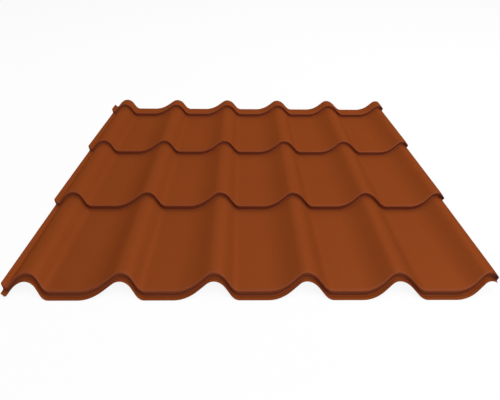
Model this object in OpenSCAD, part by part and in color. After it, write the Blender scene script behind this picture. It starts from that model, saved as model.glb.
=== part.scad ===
// Pressed metal tile roofing sheet, rolled and stepped from one coil-coated
// steel sheet. The waves run up the slope along Y. Each course climbs towards
// its own front edge, the nose, and a riser drops from there to the foot, the
// line on which the sheet rests. X runs across the waves and Z is up. The
// origin is at the middle of the underside of the whole sheet's box.

/* [Sheet] */
// Thickness of the coated steel
sheet_thickness = 0.5; // [0.4:0.05:1]

/* [Wave] */
// Number of waves from the first crest to the last
wave_count = 5; // [2:1:5]
// Distance from crest to crest, across the sheet
wave_pitch = 220; // [180:1:265]
// Height of a crest above the valley beside it
wave_height = 27; // [20:1:34]
// Slope of the steep flank, to the right of each crest, in degrees
steep_angle = 39; // [35:1:45]
// Radius of the crest where it turns to the steep flank
steep_crest_radius = 47; // [39:1:56]
// Radius where the steep flank runs out into the valley
steep_foot_radius = 33; // [15:1:40]
// Slope of the long flank, to the left of each crest, in degrees
long_angle = 27; // [24:1:32]
// Radius of the crest where it turns to the long flank
long_crest_radius = 39; // [30:1:50]
// Radius where the long flank rises out of the valley
long_foot_radius = 125; // [90:1:150]

/* [Courses] */
// Number of full courses up the slope
course_count = 3; // [1:1:4]
// Length of a course, from riser to riser
course_length = 350; // [280:1:420]
// Height of the step at each riser
step_height = 15; // [8:0.5:20]
// Distance that a riser stands further back on the crests than in the valleys
crest_setback = 33.5; // [0:0.5:45]
// Bend radius at the top of a riser
nose_radius = 3; // [1:0.5:3.5]
// Bend radius at the bottom of a riser
foot_radius = 3; // [1:0.5:3.5]
// Length of the strip in front of the lowest riser
eave_strip = 15; // [10:1:40]
// Length of the strip behind the highest riser
head_strip = 57; // [20:1:120]

/* [Under-lap edge] */
// Slope of the flange that falls away from the first crest, in degrees
flange_angle = 48; // [40:1:55]
// Depth of the drain channel below the first crest
channel_depth = 21; // [18:0.5:26]
// Inner radius of the drain channel
channel_radius = 6; // [3:0.5:8]
// Slope of the lip outside the drain channel, in degrees
lip_angle = 25; // [15:1:60]
// Length of the straight part of that lip at the back of a course
lip_length = 9; // [2:0.5:16]
// Extra length of that lip at the front of a course
lip_flare = 3; // [0:0.5:6]

/* [Over-lap edge] */
// Distance that the sheet runs on past the last crest
overlap_reach = 12; // [10:1:60]
// Distance that a riser comes forward at the free corner
corner_advance = 16; // [4:1:18]
// Extra reach of the nose at this corner
corner_flare = 4; // [0:0.5:10]
// Share of the step's height that the nose loses at this corner
corner_drop = 0.3; // [0:0.05:0.6]
// Distance behind a nose over which the corner recovers
corner_run = 9; // [6:1:16]
// Share of the lowest riser's advance that the eave corner has
eave_corner = 0.2; // [0:0.05:0.8]

/* [Hidden] */
// Straight pieces that stand in for each arc of the wave, of the lip beside
// the drain channel, of the over-lap and of a riser's bends, and for the
// recovery behind a nose's corner
wave_arc_steps = 3;
lip_arc_steps = 3;
overlap_steps = 4;
riser_arc_steps = 2;
corner_steps = 2;
// Power of the curve by which the over-lap's corner bends towards its edge
corner_bend = 2;
// Share of the eave strip that the lowest riser's advance may take
strip_share = 0.8;

// The noses and feet follow the wave and lean back up the sheet with it
lean = crest_setback / wave_height;

// A flank falls from a crest: [angle, crest radius, foot radius, drop]
steep_flank = [steep_angle, steep_crest_radius, steep_foot_radius, wave_height];
long_flank = [long_angle, long_crest_radius, long_foot_radius, wave_height];
flange = [flange_angle, long_crest_radius, channel_radius, channel_depth];

// Distances from the crest to the ends of the crest arc, of the straight
// part and of the foot arc
function crest_arc_end(f) = f[1] * sin(f[0]);
function straight_end(f) = crest_arc_end(f) + straight_part(f) * cos(f[0]);
function foot_arc_end(f) = straight_end(f) + f[2] * sin(f[0]);
function straight_part(f) = (f[3] - (f[1] + f[2]) * (1 - cos(f[0]))) / sin(f[0]);

// Height and gradient of the wave at a distance d from the crest
function flank_height(f, d) =
    d <= crest_arc_end(f) ? wave_height - f[1] + sqrt(f[1] * f[1] - d * d)
    : d <= straight_end(f) ? wave_height - f[1] * (1 - cos(f[0])) - (d - crest_arc_end(f)) * tan(f[0])
    : d < foot_arc_end(f) ? wave_height - f[3] + f[2] - sqrt(pow(f[2], 2) - pow(foot_arc_end(f) - d, 2))
    : wave_height - f[3];
function flank_gradient(f, d) =
    d <= crest_arc_end(f) ? -d / sqrt(f[1] * f[1] - d * d)
    : d <= straight_end(f) ? -tan(f[0])
    : d < foot_arc_end(f) ? -(foot_arc_end(f) - d) / sqrt(pow(f[2], 2) - pow(foot_arc_end(f) - d, 2))
    : 0;

// Distances from the crest at which the flank has a fold line
function flank_folds(f) = concat(
    [for (i = [1:wave_arc_steps]) f[1] * sin(f[0] * i / wave_arc_steps)],
    [for (i = [0:wave_arc_steps]) foot_arc_end(f) - f[2] * sin(f[0] * (1 - i / wave_arc_steps))]
);

// Columns of the sheet, left to right: [x, height, gradient, advance], with the
// first crest at x = 0
function right_of(x, f, folds) = [for (d = folds) [x + d, flank_height(f, d), flank_gradient(f, d), 0]];
function left_of(x, f, folds) = [
    for (i = [len(folds) - 1:-1:0]) let (d = folds[i]) [x - d, flank_height(f, d), -flank_gradient(f, d), 0]
];
function crest(x) = [[x, wave_height, 0, 0]];

channel_x = -foot_arc_end(flange);
channel_z = wave_height - channel_depth;
lip_arc = [
    for (i = [lip_arc_steps:-1:1]) let (a = lip_angle * i / lip_arc_steps)
        [channel_x - channel_radius * sin(a), channel_z + channel_radius * (1 - cos(a)), -tan(a), 0]
];

// The lip is longest at the front of a course
function lip_edge(r) = let (length = lip_length + lip_flare * r[1] / step_height) [[
    lip_arc[0][0] - length * cos(lip_angle),
    lip_arc[0][1] + length * sin(lip_angle),
    -tan(lip_angle),
    0
]];

waves = [
    for (n = [0:wave_count - 1])
        each concat(
            crest(n * wave_pitch),
            right_of(n * wave_pitch, steep_flank, flank_folds(steep_flank)),
            left_of((n + 1) * wave_pitch, long_flank, flank_folds(long_flank))
        )
];

// At its free corner a riser comes forward over the course below, and its nose
// spreads and drops
function overlap(r) = let (
    climbed = r[1] / step_height,
    reach = overlap_reach + corner_flare * climbed * r[3],
    advance = corner_advance * r[3],
    rise = course_fall * (1 - climbed) * advance - corner_drop * r[1] * r[3]
) [
    for (i = [1:overlap_steps]) let (share = i / overlap_steps, d = share * reach) [
        wave_count * wave_pitch + d,
        flank_height(steep_flank, d) + rise * pow(share, corner_bend),
        flank_gradient(steep_flank, d) + corner_bend * rise * pow(share, corner_bend - 1) / reach,
        (advance + lean * rise) * pow(share, corner_bend)
    ]
];
inner_columns = concat(
    lip_arc,
    left_of(0, flange, flank_folds(flange)),
    waves,
    crest(wave_count * wave_pitch)
);
function columns(r) = concat(lip_edge(r), inner_columns, overlap(r));

// Rows of the sheet, front to back: [y, height, angle of the way up the sheet,
// share of the corner's shape]
course_fall = step_height / (course_length - nose_radius - foot_radius);
fall_angle = -atan(course_fall);
lowest_share = min(1, strip_share * (eave_strip - foot_radius) / corner_advance);
function riser(n) = let (y = n * course_length, share = n == 0 ? lowest_share : 1) concat(
    [for (i = [0:riser_arc_steps]) let (a = 90 * i / riser_arc_steps)
        [y - foot_radius * (1 - sin(a)), foot_radius * (1 - cos(a)), a, share]],
    [for (i = [riser_arc_steps:-1:0]) let (a = 90 * i / riser_arc_steps)
        [y + nose_radius * (1 - sin(a)), step_height - nose_radius * (1 - cos(a)), a, share]],
    [for (i = [1:corner_steps]) let (d = corner_run * i / corner_steps, left = pow(1 - i / corner_steps, 2))
        [y + nose_radius + d, step_height - d * course_fall, fall_angle, share * left]]
);
eave_edge = [[
    -eave_strip,
    (eave_strip - foot_radius) * course_fall,
    fall_angle,
    lowest_share * eave_corner
]];
head_edge = [[
    course_count * course_length + head_strip,
    step_height - (head_strip - nose_radius) * course_fall,
    fall_angle,
    0
]];
rows = concat(
    eave_edge,
    [for (n = [0:course_count]) each riser(n)],
    head_edge
);

// Points of the weather face, and of the underside below them
function top_point(c, r) = [c[0], r[0] + lean * c[1] - c[3], c[1] + r[1]];
function outward(c, r) = [c[2] * (lean * sin(r[2]) - cos(r[2])), -sin(r[2]), cos(r[2])];
function under_point(c, r) = top_point(c, r) - outward(c, r) * sheet_thickness / norm(outward(c, r));

top_points = [for (r = rows) for (c = columns(r)) top_point(c, r)];
under_points = [for (r = rows) for (c = columns(r)) under_point(c, r)];
points = concat(top_points, under_points);
function extent(axis) = let (v = [for (p = points) p[axis]]) [min(v), max(v)];
middle = [
    (extent(0)[0] + extent(0)[1]) / 2,
    (extent(1)[0] + extent(1)[1]) / 2,
    extent(2)[0]
];

// Faces, in triangles, clockwise as seen from outside
across = len(columns(rows[0]));
along = len(rows);
under = across * along;
function quad(a, b, c, d) = [[a, b, c], [a, c, d]];
top_faces = [
    for (j = [0:along - 2], i = [0:across - 2]) let (a = j * across + i)
        each quad(a, a + across, a + across + 1, a + 1)
];
under_faces = [
    for (j = [0:along - 2], i = [0:across - 2]) let (a = under + j * across + i)
        each quad(a, a + 1, a + across + 1, a + across)
];
eave_faces = [for (i = [0:across - 2]) each quad(i, i + 1, i + 1 + under, i + under)];
head_faces = [
    for (i = [0:across - 2]) let (a = (along - 1) * across + i)
        each quad(a, a + under, a + 1 + under, a + 1)
];
left_faces = [
    for (j = [0:along - 2]) let (a = j * across)
        each quad(a, a + under, a + across + under, a + across)
];
right_faces = [
    for (j = [0:along - 2]) let (a = j * across + across - 1)
        each quad(a, a + across, a + across + under, a + under)
];

module roofing_sheet() {
    color("#853E1B")
        translate(-middle)
            polyhedron(
                points = points,
                faces = concat(top_faces, under_faces, eave_faces, head_faces, left_faces, right_faces)
            );
}

roofing_sheet();
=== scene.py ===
"""Looks of a pressed metal roofing sheet, matt terracotta, with waves and with courses like rows of tiles.

The sheet is one strip of coil-coated steel. It is drawn here the way it is made: a section line is bent over
the rolls, pulled along the slope, and stepped in the press at every course. Lengths are in metres. X runs
across the waves, Y up the slope and Z out of the weather face.
"""

import logging
import math
from dataclasses import dataclass, field
from enum import Enum
from typing import Any

import bmesh
import bpy
from mathutils import Matrix, Vector


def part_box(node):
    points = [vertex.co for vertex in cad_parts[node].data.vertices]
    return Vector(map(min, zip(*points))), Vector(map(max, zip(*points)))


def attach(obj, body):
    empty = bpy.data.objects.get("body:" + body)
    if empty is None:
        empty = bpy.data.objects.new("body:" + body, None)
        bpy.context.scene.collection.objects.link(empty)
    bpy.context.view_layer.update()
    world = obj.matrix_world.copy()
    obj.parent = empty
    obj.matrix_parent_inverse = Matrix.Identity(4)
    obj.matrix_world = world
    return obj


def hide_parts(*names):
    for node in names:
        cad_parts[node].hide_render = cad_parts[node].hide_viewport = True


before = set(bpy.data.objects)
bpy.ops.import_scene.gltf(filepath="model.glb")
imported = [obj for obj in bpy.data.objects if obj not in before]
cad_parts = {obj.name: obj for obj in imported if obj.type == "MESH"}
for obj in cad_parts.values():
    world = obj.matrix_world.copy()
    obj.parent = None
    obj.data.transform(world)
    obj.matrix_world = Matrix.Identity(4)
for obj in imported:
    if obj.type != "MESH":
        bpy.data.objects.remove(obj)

LOG = logging.getLogger("roofing_sheet")
MM = 0.001
NODE = "roofing_sheet"
BODY = "root"
# Name of the layer that says how much of the paler paint each point takes, from 0 to 1: partly paint that
# the press stretched, partly a painted highlight along each front edge and a painted cool cast in the
# risers' shade.
STRETCH_AND_HIGHLIGHT = "pressed"
# Name of the layer of painted shade that darkens the free corner of each course, from 0 to 1.
CORNER_SHADE = "corner_shade"
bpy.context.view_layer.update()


class Face(Enum):
    """The sides of the sheet, in the order of their material slots."""

    TOP_COAT = 0
    BACK_COAT = 1
    CUT_EDGE = 2


def linear(hex_colour: str) -> tuple[float, float, float, float]:
    """Turns an sRGB hex colour into the linear colour that a shader takes.

    Args:
        hex_colour: Six hex digits, with or without a leading hash.

    Returns:
        Linear red, green and blue, and an alpha of 1.
    """
    digits = hex_colour.lstrip("#")
    channels = [int(digits[i : i + 2], 16) / 255 for i in (0, 2, 4)]
    red, green, blue = (c / 12.92 if c <= 0.04045 else ((c + 0.055) / 1.055) ** 2.4 for c in channels)
    return red, green, blue, 1.0


def socket(sockets: Any, name: str) -> bpy.types.NodeSocket:
    """Finds the socket of a node that is in use under a name, since a Mix node has several of each name.

    Args:
        sockets: The inputs or the outputs of the node.
        name: Name that the socket shows.

    Returns:
        The first socket of that name that is in use.
    """
    return next(s for s in sockets if s.name == name and s.enabled)


def add_node(
    tree: bpy.types.NodeTree, kind: str, settings: dict[str, Any], links: dict[str, Any]
) -> bpy.types.Node:
    """Adds a shader node with its settings and its incoming links.

    Args:
        tree: The node tree that the node joins.
        kind: Blender's name of the node type.
        settings: Values by the name of a node property, or else of an input socket.
        links: Output sockets by the name of the input socket that each one feeds.

    Returns:
        The new node.
    """
    node = tree.nodes.new(kind)
    for name, value in settings.items():
        if hasattr(node, name):
            setattr(node, name, value)
        else:
            socket(node.inputs, name).default_value = value
    for name, output in links.items():
        tree.links.new(output, socket(node.inputs, name))
    return node


def new_material(name: str) -> tuple[bpy.types.Material, bpy.types.NodeTree, bpy.types.Node]:
    """Makes an empty node material.

    Args:
        name: The material's name.

    Returns:
        The material, its node tree, and its output node.
    """
    material = bpy.data.materials.new(name)
    material.use_nodes = True
    material.node_tree.nodes.clear()
    return material, material.node_tree, material.node_tree.nodes.new("ShaderNodeOutputMaterial")


def looking_ray(tree: bpy.types.NodeTree) -> bpy.types.NodeSocket:
    """Adds a test that is 1 for a ray that looks, directly, by reflection or through glass, and else is 0.

    Args:
        tree: The node tree that the test joins.

    Returns:
        The output that holds the answer.
    """
    ray = add_node(tree, "ShaderNodeLightPath", {}, {})
    answer = ray.outputs["Is Camera Ray"]
    for kind in ("Is Glossy Ray", "Is Transmission Ray"):
        either = add_node(tree, "ShaderNodeMath", {"operation": "MAXIMUM"}, {})
        tree.links.new(answer, either.inputs[0])
        tree.links.new(ray.outputs[kind], either.inputs[1])
        answer = either.outputs["Value"]
    return answer


@dataclass(frozen=True)
class MattCoilCoating:
    """Matt polyester coil coating, baked on in the mill: an even, low-sheen colour with a very fine wrinkle.

    Over each riser and the front edge above it the colour turns a little duller, paler and bluer: partly
    paint that the press stretched, and partly a painted highlight along the front edge and a painted cool
    cast in the risers' shade. The free corner of each course is painted dark, as painted shade for the
    shadow at the end of its riser.
    """

    name: str = "matt_polyester_coil_coating"
    colour: str = "#86411C"
    cloud_colour: str = "#813D1B"
    # Duller, paler, bluer paint: partly stretched by the press, partly a painted highlight along each front
    # edge and a painted cool cast in the risers' shade.
    stretch_and_highlight_colour: str = "#83442C"
    # Painted shade: the free corner of each course is darkened where its riser's end lies in shadow.
    corner_shade_colour: str = "#2A1C1B"
    roughness: float = 0.5
    specular_level: float = 0.0
    # The pigment holds a little fine metallic flake, so the sheen takes the paint's own colour.
    flake: float = 0.2
    glance_colour: str = "#F0C0A8"
    # The wrinkle of such a paint is about 0.3 mm across. It is drawn at 1.4 mm so that it shows at all.
    wrinkle: float = 1.4 * MM
    wrinkle_height: float = 0.02 * MM
    # The mill's roller lets the colour drift slightly, in clouds a little narrower than a wave.
    cloud: float = 170 * MM

    def material(self) -> bpy.types.Material:
        """Builds the coating's material.

        Returns:
            The coating, as a material.
        """
        material, tree, output = new_material(self.name)
        place = add_node(tree, "ShaderNodeTexCoord", {}, {}).outputs["Object"]
        clouds = add_node(
            tree,
            "ShaderNodeTexNoise",
            {"Scale": 1 / self.cloud, "Detail": 3.0, "Roughness": 0.55},
            {"Vector": place},
        )
        tint = add_node(
            tree,
            "ShaderNodeMix",
            {"data_type": "RGBA", "A": linear(self.colour), "B": linear(self.cloud_colour)},
            {"Factor": clouds.outputs["Fac"]},
        )
        # Paler paint over risers and front edges: partly stretched paint, partly a painted highlight and a
        # painted cool cast in shade.
        pressed = add_node(tree, "ShaderNodeAttribute", {"attribute_name": STRETCH_AND_HIGHLIGHT}, {})
        worked = add_node(
            tree,
            "ShaderNodeMix",
            {"data_type": "RGBA", "B": linear(self.stretch_and_highlight_colour)},
            {"Factor": pressed.outputs["Fac"], "A": socket(tint.outputs, "Result")},
        )
        # Painted shade darkens the free corner of each course.
        corner_shade = add_node(tree, "ShaderNodeAttribute", {"attribute_name": CORNER_SHADE}, {})
        shaded = add_node(
            tree,
            "ShaderNodeMix",
            {"data_type": "RGBA", "B": linear(self.corner_shade_colour)},
            {"Factor": corner_shade.outputs["Fac"], "A": socket(worked.outputs, "Result")},
        )
        grain = add_node(
            tree,
            "ShaderNodeTexNoise",
            {"Scale": 1 / self.wrinkle, "Detail": 2.0, "Roughness": 0.6},
            {"Vector": place},
        )
        relief = add_node(
            tree,
            "ShaderNodeBump",
            {"Strength": 1.0, "Distance": self.wrinkle_height},
            {"Height": grain.outputs["Fac"]},
        )
        paint = add_node(
            tree,
            "ShaderNodeBsdfPrincipled",
            {
                "Metallic": self.flake,
                "Roughness": self.roughness,
                "Specular IOR Level": self.specular_level,
                "Specular Tint": linear(self.glance_colour),
            },
            {"Base Color": socket(shaded.outputs, "Result"), "Normal": relief.outputs["Normal"]},
        )
        tree.links.new(paint.outputs["BSDF"], output.inputs["Surface"])
        return material


@dataclass(frozen=True)
class BackingCoat:
    """Thin grey epoxy backing coat on the underside: flat and a little streaked along the coil."""

    name: str = "grey_backing_coat"
    colour: str = "#8F918D"
    streak_colour: str = "#858783"
    roughness: float = 0.55
    # The roller leaves streaks about 4 mm wide that run with the coil, up the slope.
    streak_width: float = 4 * MM
    streak_stretch: float = 60.0

    def material(self) -> bpy.types.Material:
        """Builds the backing coat's material.

        Returns:
            The backing coat, as a material.
        """
        material, tree, output = new_material(self.name)
        place = add_node(tree, "ShaderNodeTexCoord", {}, {}).outputs["Object"]
        along = add_node(
            tree, "ShaderNodeMapping", {"Scale": (1.0, 1 / self.streak_stretch, 1.0)}, {"Vector": place}
        )
        streaks = add_node(
            tree,
            "ShaderNodeTexNoise",
            {"Scale": 1 / self.streak_width, "Detail": 2.0},
            {"Vector": along.outputs["Vector"]},
        )
        tint = add_node(
            tree,
            "ShaderNodeMix",
            {"data_type": "RGBA", "A": linear(self.colour), "B": linear(self.streak_colour)},
            {"Factor": streaks.outputs["Fac"]},
        )
        paint = add_node(
            tree,
            "ShaderNodeBsdfPrincipled",
            {"Roughness": self.roughness},
            {"Base Color": socket(tint.outputs, "Result")},
        )
        tree.links.new(paint.outputs["BSDF"], output.inputs["Surface"])
        return material


@dataclass(frozen=True)
class ShearedEdge:
    """Bare galvanised steel where the shears cut the strip: a dull grey line along the rim."""

    name: str = "sheared_galvanised_steel"
    colour: str = "#9B9C9A"
    dull_colour: str = "#7C7B78"
    roughness: float = 0.5
    # The cut runs bright and dull in patches a few millimetres long.
    patch: float = 6 * MM

    def material(self) -> bpy.types.Material:
        """Builds the cut edge's material.

        Returns:
            The cut edge, as a material.
        """
        material, tree, output = new_material(self.name)
        place = add_node(tree, "ShaderNodeTexCoord", {}, {}).outputs["Object"]
        patches = add_node(
            tree, "ShaderNodeTexNoise", {"Scale": 1 / self.patch, "Detail": 2.0}, {"Vector": place}
        )
        tint = add_node(
            tree,
            "ShaderNodeMix",
            {"data_type": "RGBA", "A": linear(self.colour), "B": linear(self.dull_colour)},
            {"Factor": patches.outputs["Fac"]},
        )
        steel = add_node(
            tree,
            "ShaderNodeBsdfPrincipled",
            {"Metallic": 1.0, "Roughness": self.roughness},
            {"Base Color": socket(tint.outputs, "Result")},
        )
        tree.links.new(steel.outputs["BSDF"], output.inputs["Surface"])
        return material


@dataclass(frozen=True)
class StudioFloor:
    """White studio paper. It shows the camera mostly its own white, and keeps part of the sheet's shadow."""

    name: str = "studio_paper"
    colour: str = "#F4F4F4"
    # Share of the paper's look that stays white whatever falls on it.
    own_white: float = 0.9

    def material(self) -> bpy.types.Material:
        """Builds the floor's material.

        Returns:
            The paper, as a material.
        """
        material, tree, output = new_material(self.name)
        share = add_node(tree, "ShaderNodeMath", {"operation": "MULTIPLY"}, {})
        tree.links.new(looking_ray(tree), share.inputs[0])
        share.inputs[1].default_value = self.own_white
        paper = add_node(tree, "ShaderNodeBsdfDiffuse", {"Color": linear(self.colour)}, {})
        white = add_node(tree, "ShaderNodeEmission", {"Strength": 1.0}, {})
        mix = add_node(tree, "ShaderNodeMixShader", {}, {})
        tree.links.new(share.outputs["Value"], mix.inputs[0])
        tree.links.new(paper.outputs["BSDF"], mix.inputs[1])
        tree.links.new(white.outputs["Emission"], mix.inputs[2])
        tree.links.new(mix.outputs["Shader"], output.inputs["Surface"])
        return material


@dataclass
class Pen:
    """Draws one bent line of edges in an upright plane, a straight or a bend at a time."""

    forward: Vector
    heading: float = 0.0
    arc_step: float = 3.0
    longest: float = 12 * MM
    # A straight starts and ends with an edge this short, which keeps the shading of a bend beside it off it.
    guard: float = 2.5 * MM
    mesh: bmesh.types.BMesh = field(default_factory=bmesh.new)

    def __post_init__(self) -> None:
        """Puts down the first point, at the origin."""
        self.up = Vector((0, 0, 1))
        self.axis = self.forward.cross(self.up)
        self.tip = bmesh.ops.create_vert(self.mesh, co=(0, 0, 0))["vert"][0]

    def direction(self, quarter: float = 0.0) -> Vector:
        """Unit vector along the heading, turned up by a further angle in degrees."""
        angle = math.radians(self.heading + quarter)
        return self.forward * math.cos(angle) + self.up * math.sin(angle)

    def step(self, length: float) -> None:
        """Draws one straight edge."""
        self.tip = bmesh.ops.extrude_vert_indiv(self.mesh, verts=[self.tip])["verts"][0]
        bmesh.ops.translate(self.mesh, vec=self.direction() * length, verts=[self.tip])

    def straight(self, length: float) -> None:
        """Draws a straight, with a short guard edge at each end.

        Args:
            length: Length along the heading.
        """
        guard = min(self.guard, length / 4)
        middle = length - 2 * guard
        strides = math.ceil(middle / self.longest)
        self.step(guard)
        for _ in range(strides):
            self.step(middle / strides)
        self.step(guard)

    def bend(self, radius: float, turn: float) -> None:
        """Draws an arc.

        Args:
            radius: Radius of the arc.
            turn: Angle that the heading turns by, in degrees, positive upwards.
        """
        side = math.copysign(1, turn)
        centre = self.tip.co + self.direction(90) * radius * side
        steps = max(2, math.ceil(abs(turn) / self.arc_step))
        made = bmesh.ops.spin(
            self.mesh,
            geom=[self.tip],
            cent=centre,
            axis=self.axis * side,
            angle=math.radians(abs(turn)),
            steps=steps,
        )
        self.tip = next(g for g in made["geom_last"] if isinstance(g, bmesh.types.BMVert))
        self.heading += turn

    def crease(self, turn: float) -> None:
        """Turns the heading on the spot, in degrees."""
        self.heading += turn

    def points(self) -> list[Vector]:
        """The line's points, in the order in which they were drawn."""
        return [v.co.copy() for v in self.mesh.verts]


@dataclass(frozen=True)
class Flank:
    """One side of a wave, from the crest down: the crest's arc, a straight run and the arc at its foot.

    The angle is in degrees.
    """

    angle: float
    crest_radius: float
    foot_radius: float
    drop: float

    @property
    def run(self) -> float:
        """Length of the straight run between the two arcs."""
        slope = math.radians(self.angle)
        return (self.drop - (self.crest_radius + self.foot_radius) * (1 - math.cos(slope))) / math.sin(slope)

    @property
    def reach(self) -> float:
        """Distance across the sheet from the crest to the end of the foot's arc."""
        slope = math.radians(self.angle)
        return (self.crest_radius + self.foot_radius) * math.sin(slope) + self.run * math.cos(slope)

    def fall(self, pen: Pen) -> None:
        """Draws the flank from the crest down to the right.

        Args:
            pen: The line across the sheet, which stands at the crest.
        """
        pen.bend(self.crest_radius, -self.angle)
        pen.straight(self.run)
        pen.bend(self.foot_radius, self.angle)

    def rise(self, pen: Pen) -> None:
        """Draws the flank from its foot up to a crest on the right.

        Args:
            pen: The line across the sheet, which stands at the foot.
        """
        pen.bend(self.foot_radius, self.angle)
        pen.straight(self.run)
        pen.bend(self.crest_radius, -self.angle)


@dataclass
class RoofingSheet:
    """The pressed sheet, with its sizes as they leave the press."""

    name: str = "pressed_roofing_sheet"
    thickness: float = 0.5 * MM

    wave_count: int = 5
    wave_pitch: float = 220 * MM
    wave_height: float = 27 * MM
    steep_flank: Flank = Flank(angle=39, crest_radius=47 * MM, foot_radius=33 * MM, drop=27 * MM)
    long_flank: Flank = Flank(angle=27, crest_radius=39 * MM, foot_radius=125 * MM, drop=27 * MM)
    under_lap: Flank = Flank(angle=48, crest_radius=39 * MM, foot_radius=6 * MM, drop=21 * MM)
    lip_angle: float = 25
    lip_length: float = 9 * MM
    # The lip is this much longer at the front of a course.
    lip_flare: float = 3 * MM
    overlap_reach: float = 12 * MM

    course_count: int = 3
    course_length: float = 350 * MM
    step_height: float = 15 * MM
    crest_setback: float = 33.5 * MM
    riser_bend: float = 3 * MM
    eave_strip: float = 15 * MM
    head_strip: float = 57 * MM
    # The press still stretches the paint this far behind the front edge of a course, and the painted
    # highlight along that edge fades over the same run.
    run_out: float = 12 * MM
    # The paler paint is strongest on a riser's face, where it is also a painted cool cast in the shade, and
    # it takes this share of that at the front edge above it, where it is partly a painted highlight.
    edge_share: float = 0.55
    # At the foot of a riser, the paler paint grows this many times as fast as the height.
    foot_rise: float = 8.0
    # Nothing holds the over-lap in the press, so its free corner comes forward at a riser. At the top it
    # spreads by the flare too, and drops by a share of the step. It recovers over the run behind that edge.
    corner_advance: float = 16 * MM
    corner_flare: float = 4 * MM
    corner_drop: float = 0.3
    corner_run: float = 9 * MM
    # Share of the lowest riser's advance that the eave corner has.
    eave_corner: float = 0.2
    # Share of the eave strip that the advance of the lowest riser may take.
    strip_share: float = 0.8

    # Power by which the painted shade at that corner fades towards the last crest.
    corner_shade_fade: float = 1.5

    # Longest row of faces in the worked run behind a front edge, and elsewhere, and the row beside a bend.
    short_row: float = 3 * MM
    long_row: float = 40 * MM
    guard_row: float = 1.5 * MM

    @property
    def fall_angle(self) -> float:
        """Angle in degrees at which a course falls from its front edge back to the next riser."""
        return math.degrees(math.atan(self.step_height / (self.course_length - 2 * self.riser_bend)))

    @property
    def foot_height(self) -> float:
        """Height of every riser's foot in the line up the slope, which starts at the eave edge."""
        return -(self.eave_strip - self.riser_bend) * math.tan(math.radians(self.fall_angle))

    @property
    def lean(self) -> float:
        """Distance that a point stands back up the slope for its height on the wave."""
        return self.crest_setback / self.wave_height

    @property
    def last_crest(self) -> float:
        """Finds the last crest.

        Returns:
            Its place in the line across the sheet, which starts at the lip's rim.
        """
        lip = math.radians(self.lip_angle)
        channel = self.lip_length * math.cos(lip) + self.under_lap.foot_radius * math.sin(lip)
        return channel + self.under_lap.reach + self.wave_count * self.wave_pitch

    def section(self) -> Pen:
        """Draws the line across the sheet, from the lip beside the drain channel to the over-lap's edge.

        Returns:
            The pen that drew it.
        """
        pen = Pen(forward=Vector((1, 0, 0)), heading=-self.lip_angle)
        pen.straight(self.lip_length)
        pen.bend(self.under_lap.foot_radius, self.lip_angle)
        self.under_lap.rise(pen)
        for _ in range(self.wave_count):
            self.steep_flank.fall(pen)
            pen.straight(self.wave_pitch - self.steep_flank.reach - self.long_flank.reach)
            self.long_flank.rise(pen)
        last_radius = self.steep_flank.crest_radius
        pen.bend(last_radius, -math.degrees(math.asin(self.overlap_reach / last_radius)))
        return pen

    def climb(self) -> Pen:
        """Draws the line up the slope: a strip at the eave, then a riser and a course by turns.

        Returns:
            The pen that drew it.
        """
        fall = self.fall_angle
        slope = math.radians(fall)
        pen = Pen(Vector((0, 1, 0)), heading=-fall, arc_step=15, longest=self.long_row, guard=self.guard_row)
        pen.straight((self.eave_strip - self.riser_bend) / math.cos(slope))
        courses = [self.course_length - 2 * self.riser_bend] * self.course_count
        for run in [*courses, self.head_strip - self.riser_bend]:
            pen.crease(fall)
            pen.bend(self.riser_bend, 90)
            pen.straight(self.step_height - 2 * self.riser_bend)
            pen.bend(self.riser_bend, -90)
            pen.crease(-fall)
            pen.longest = self.short_row
            pen.straight(self.run_out / math.cos(slope))
            pen.longest = self.long_row
            pen.straight((run - self.run_out) / math.cos(slope))
        return pen

    def press_mark(self, place: Vector, run_out: float) -> float:
        """Tells how hard the press works the sheet at a point of the line up the slope.

        Args:
            place: The point of the line up the slope.
            run_out: Distance behind the front edge of a course over which the mark fades.

        Returns:
            0 where the sheet stays as it was rolled, up to 1 at the front edge of a course.
        """
        lowest_riser = self.eave_strip
        past_riser = (place.y - lowest_riser + self.riser_bend) % self.course_length - self.riser_bend
        if place.y < lowest_riser - self.riser_bend or past_riser > self.riser_bend + run_out:
            return 0.0
        behind = max(0.0, past_riser - self.riser_bend) / run_out
        return max(0.0, min(1.0, self.climbed(place))) * (1 - behind) ** 2

    def stretch(self, place: Vector) -> float:
        """Tells how much of the paler paint a point of the line up the slope takes: partly paint that the
        press stretched, partly a painted highlight at the front edge and a painted cool cast in a riser's
        shade.

        Args:
            place: The point of the line up the slope.

        Returns:
            0 where the paint keeps its own colour, up to 1 on the face of a riser.
        """
        mark = self.press_mark(place, self.run_out)
        if mark == 0:
            return 0.0
        climbed = min(1.0, self.climbed(place))
        return mark * min(self.foot_rise, 1 / climbed) * (1 - (1 - self.edge_share) * climbed**3)

    def worked(self, place: Vector) -> bool:
        """Tells whether a point of the line up the slope is in a riser or in the run behind its top."""
        return self.press_mark(place, self.corner_run) > 0

    def climbed(self, place: Vector) -> float:
        """Height of a point of the line up the slope, as a share of the step."""
        return (place.z - self.foot_height) / self.step_height

    def corner_mark(self, place: Vector) -> float:
        """Tells how much of the corner's shape the free edge takes at a point of the line up the slope.

        Args:
            place: The point of the line up the slope.

        Returns:
            0 where the edge stays straight, up to 1 where it takes the whole shape.
        """
        strip = self.eave_strip - self.riser_bend
        lowest = min(1.0, self.strip_share * strip / self.corner_advance)
        if place.y < strip:
            return lowest * (self.eave_corner + (1 - self.eave_corner) * place.y / strip)
        riser, past_foot = divmod(place.y - strip, self.course_length)
        strength = lowest if riser == 0 else 1.0
        past_riser = past_foot - 2 * self.riser_bend
        if past_riser <= 0:
            return strength
        recovered = max(0.0, 1 - past_riser / self.corner_run)
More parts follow.
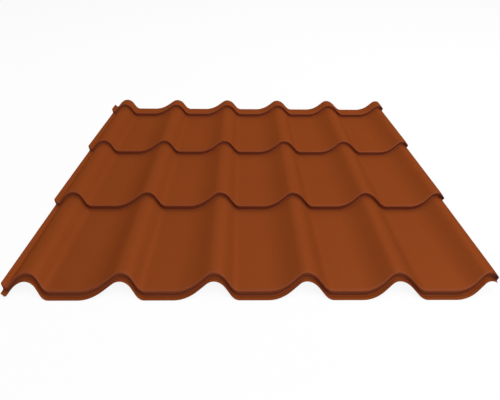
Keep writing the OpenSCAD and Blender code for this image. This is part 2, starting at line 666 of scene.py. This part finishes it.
        # The next riser up starts to pull the edge forward. Behind the highest riser there is none.
        pull = past_riser / (self.course_length - 2 * self.riser_bend) if riser < self.course_count else 0.0
        return max(strength * recovered**2, pull)

    def slide(self, point: bmesh.types.BMVert, across: float, up: float) -> None:
        """Moves a point across the sheet and up, and up the slope too as the lean of the waves asks."""
        point.co += Vector((across, self.lean * up, up))

    def stretch_lip(self, point: bmesh.types.BMVert, climbed: float) -> None:
        """Lengthens the lip beside the drain channel towards the front of a course.

        Args:
            point: A point of the sheet.
            climbed: Height of its row, as a share of the step.
        """
        angle = math.radians(self.lip_angle)
        share = 1 - point.co.x / (self.lip_length * math.cos(angle))
        if share > 0:
            stretch = self.lip_flare * climbed * share
            self.slide(point, -stretch * math.cos(angle), stretch * math.sin(angle))

    def overlap_share(self, point: bmesh.types.BMVert) -> float:
        """Place of a point between the last crest, and all before it, at 0, and the over-lap's edge at 1."""
        return max(0.0, point.co.x - self.last_crest) / self.overlap_reach

    def paint_corner_shade(self, point: bmesh.types.BMVert, place: Vector) -> float:
        """Tells how dark the painted shade makes a point of the free corner.

        Args:
            point: A point of the sheet, before the corner is shaped.
            place: The point of the line up the slope that its row belongs to.

        Returns:
            0 for the paint's own colour, up to 1 at the tip of the corner.
        """
        raised = self.press_mark(place, self.riser_bend)
        return math.sqrt(raised) * self.overlap_share(point) ** self.corner_shade_fade

    def shape_corner(self, point: bmesh.types.BMVert, place: Vector) -> None:
        """Brings the free edge forward at a riser, and spreads and drops it at the front of a course.

        Args:
            point: A point of the sheet.
            place: The point of the line up the slope that its row belongs to.
        """
        share = self.overlap_share(point)
        if share == 0:
            return
        past_crest = share * self.overlap_reach
        mark = self.corner_mark(place)
        climbed = max(0.0, min(1.0, self.climbed(place))) if self.worked(place) else 0.0
        spread = share * self.corner_flare * climbed * mark
        round_off = self.crest_fall(past_crest + spread) - self.crest_fall(past_crest)
        advance = self.corner_advance * mark * share**2
        climb = math.tan(math.radians(self.fall_angle)) * (1 - climbed) * advance
        drop = self.corner_drop * self.step_height * climbed * mark * share**2
        point.co += Vector((spread, -advance - self.lean * round_off, climb - drop - round_off))

    def crest_fall(self, distance: float) -> float:
        """Depth to which the steep side's arc falls at a distance from the crest."""
        radius = self.steep_flank.crest_radius
        return radius - math.sqrt(radius**2 - distance**2)

    def sweep(self, mesh: bmesh.types.BMesh, path: list[Vector]) -> list[list[bmesh.types.BMVert]]:
        """Pulls the section line along the slope, one row of faces for each step of the path.

        Args:
            mesh: The section line, which becomes the sheet's weather face.
            path: Points of the line up the slope.

        Returns:
            The points of the sheet, in one row for each point of the path.
        """
        rows = [mesh.verts[:]]
        front = mesh.edges[:]
        for here, there in zip(path, path[1:]):
            made = bmesh.ops.extrude_edge_only(mesh, edges=front)["geom"]
            row = [g for g in made if isinstance(g, bmesh.types.BMVert)]
            ends = set(row)
            front = [g for g in made if isinstance(g, bmesh.types.BMEdge) and ends.issuperset(g.verts)]
            bmesh.ops.translate(mesh, vec=there - here, verts=row)
            rows.append(row)
        return rows

    def press(self, mesh: bmesh.types.BMesh) -> None:
        """Steps the sheet: sweeps the section up the slope, shapes its free edges and marks its paint.

        Args:
            mesh: The section line, which becomes the sheet's weather face.
        """
        pressed = mesh.verts.layers.float.new(STRETCH_AND_HIGHLIGHT)
        corner_shade = mesh.verts.layers.float.new(CORNER_SHADE)
        path = self.climb().points()
        for place, row in zip(path, self.sweep(mesh, path)):
            for point in row:
                # Paler paint: partly stretched, partly a painted highlight and a painted cool cast in the
                # risers' shade.
                point[pressed] = self.stretch(place)
                # Painted shade at the free corner of each course.
                point[corner_shade] = self.paint_corner_shade(point, place)
                self.stretch_lip(point, self.climbed(place))
                self.shape_corner(point, place)

    def lean_back(self, mesh: bmesh.types.BMesh) -> None:
        """Slides each point up the slope by its height on the wave, so that crests step further back.

        Args:
            mesh: The section line.
        """
        shear = Matrix.Identity(4)
        shear[1][2] = self.lean
        bmesh.ops.transform(mesh, matrix=shear, verts=mesh.verts[:])

    def thicken(self, mesh: bmesh.types.BMesh) -> None:
        """Gives the weather face its back face and rim, and marks which finish each one takes.

        Args:
            mesh: The weather face, which becomes the whole sheet.
        """
        faces = mesh.faces[:]
        bmesh.ops.reverse_faces(mesh, faces=faces)
        made = bmesh.ops.solidify(mesh, geom=faces, thickness=self.thickness)["geom"]
        weather = set(faces)
        back = {g for g in made if isinstance(g, bmesh.types.BMFace)}
        for face in mesh.faces:
            side = Face.TOP_COAT if face in weather else Face.BACK_COAT if face in back else Face.CUT_EDGE
            face.material_index = side.value
            face.smooth = side is not Face.CUT_EDGE
        for edge in mesh.edges:
            edge.smooth = len({face.material_index for face in edge.link_faces}) == 1

    def seat(self, mesh: bmesh.types.BMesh) -> None:
        """Moves the sheet so that it fills its place in the frame.

        Args:
            mesh: The whole sheet.
        """
        low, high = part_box(NODE)
        mine = [[extreme(v.co[axis] for v in mesh.verts) for axis in range(3)] for extreme in (min, max)]
        shift = (low + high - Vector(mine[0]) - Vector(mine[1])) / 2
        bmesh.ops.translate(mesh, vec=shift, verts=mesh.verts[:])
        for point in mesh.verts:
            # The thickness is mitred at a riser's bends, which can reach a micron too far.
            point.co = [min(max(point.co[axis], low[axis]), high[axis]) for axis in range(3)]
        spare = [round((high[i] - low[i] - mine[1][i] + mine[0][i]) / MM, 3) for i in range(3)]
        LOG.info("%s: room left in the frame, mm: %s", self.name, spare)

    def build(self) -> bpy.types.Object:
        """Makes the sheet, dresses it and hands it to the frame.

        Returns:
            The finished piece.
        """
        mesh = self.section().mesh
        self.lean_back(mesh)
        self.press(mesh)
        self.thicken(mesh)
        self.seat(mesh)
        data = bpy.data.meshes.new(self.name)
        mesh.to_mesh(data)
        mesh.free()
        for finish in (MattCoilCoating(), BackingCoat(), ShearedEdge()):
            data.materials.append(finish.material())
        piece = bpy.data.objects.new(self.name, data)
        bpy.context.scene.collection.objects.link(piece)
        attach(piece, BODY)
        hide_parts(NODE)
        return piece


@dataclass(frozen=True)
class Softbox:
    """A square soft light that stands off from the sheet and shines at its middle. Angles are in degrees."""

    name: str
    azimuth: float
    elevation: float
    distance: float
    width: float
    # Brightness that it alone gives a level white card at the sheet, where 1 is white.
    level: float

    def build(self, target: Vector) -> bpy.types.Object:
        """Makes the light.

        Args:
            target: The point that it shines at.

        Returns:
            The light's object.
        """
        height = math.radians(self.elevation)
        turn = math.radians(self.azimuth)
        aside = math.cos(height)
        away = Vector((aside * math.sin(turn), aside * math.cos(turn), math.sin(height)))
        lamp = bpy.data.lights.new(self.name, "AREA")
        lamp.shape = "SQUARE"
        lamp.size = self.width
        lamp.energy = self.level * (math.pi * self.distance) ** 2 / math.sin(height)
        light = bpy.data.objects.new(self.name, lamp)
        light.location = target + away * self.distance
        light.rotation_euler = away.to_track_quat("Z", "Y").to_euler()
        bpy.context.scene.collection.objects.link(light)
        return light


@dataclass
class Studio:
    """Everything round the sheet: the floor, the light and the camera."""

    floor_half: float = 8.0
    # Brightness that the room gives a level white card, where 1 is white.
    room_level: float = 0.38
    lights: tuple[Softbox, ...] = (
        Softbox("back_softbox", azimuth=50, elevation=62, distance=4.5, width=2.6, level=0.364),
        Softbox("side_softbox", azimuth=130, elevation=62, distance=4.5, width=2.6, level=0.37),
    )
    camera_place: tuple[float, float, float] = (-0.02585, -1.2998, 0.7625)
    # Degrees: the camera's turn about Z, its tilt up from straight down, and its roll.
    camera_turn: float = -1.269
    camera_tilt: float = 56.270
    camera_roll: float = 0.830
    lens: float = 31.824

    def lay_floor(self) -> None:
        """Lays the floor under the sheet."""
        mesh = bmesh.new()
        bmesh.ops.create_grid(mesh, x_segments=1, y_segments=1, size=self.floor_half)
        data = bpy.data.meshes.new("studio_floor")
        mesh.to_mesh(data)
        mesh.free()
        data.materials.append(StudioFloor().material())
        floor = bpy.data.objects.new("studio_floor", data)
        bpy.context.scene.collection.objects.link(floor)

    def light_room(self) -> None:
        """Lights the room evenly, and shows plain white where a look or a reflection goes past the floor."""
        world = bpy.data.worlds.new("studio_room")
        world.use_nodes = True
        tree = world.node_tree
        tree.nodes.clear()
        output = tree.nodes.new("ShaderNodeOutputWorld")
        room = add_node(tree, "ShaderNodeBackground", {"Strength": self.room_level}, {})
        white = add_node(tree, "ShaderNodeBackground", {"Strength": 1.0}, {})
        for shade in (room, white):
            shade.inputs["Color"].default_value = linear("#FFFFFF")
        mix = add_node(tree, "ShaderNodeMixShader", {}, {})
        tree.links.new(looking_ray(tree), mix.inputs[0])
        tree.links.new(room.outputs["Background"], mix.inputs[1])
        tree.links.new(white.outputs["Background"], mix.inputs[2])
        tree.links.new(mix.outputs["Shader"], output.inputs["Surface"])
        bpy.context.scene.world = world

    def aim_camera(self) -> None:
        """Sets up the camera."""
        lens = bpy.data.cameras.new("camera")
        lens.lens = self.lens
        lens.dof.use_dof = False
        camera = bpy.data.objects.new("camera", lens)
        camera.matrix_world = (
            Matrix.Translation(self.camera_place)
            @ Matrix.Rotation(math.radians(self.camera_turn), 4, "Z")
            @ Matrix.Rotation(math.radians(self.camera_tilt), 4, "X")
            @ Matrix.Rotation(math.radians(self.camera_roll), 4, "Z")
        )
        bpy.context.scene.collection.objects.link(camera)
        bpy.context.scene.camera = camera

    def build(self) -> None:
        """Sets up the whole studio."""
        bpy.context.scene.view_settings.view_transform = "Standard"
        self.aim_camera()
        self.lay_floor()
        self.light_room()
        for light in self.lights:
            light.build(target=Vector())


def main() -> None:
    """Builds the studio and the sheet, and reports each piece."""
    logging.basicConfig(level=logging.INFO, format="%(name)s: %(message)s")
    Studio().build()
    piece = RoofingSheet().build()
    piece.data.calc_loop_triangles()
    LOG.info("%s: %d triangles", piece.name, len(piece.data.loop_triangles))


if __name__ == "__main__":
    main()
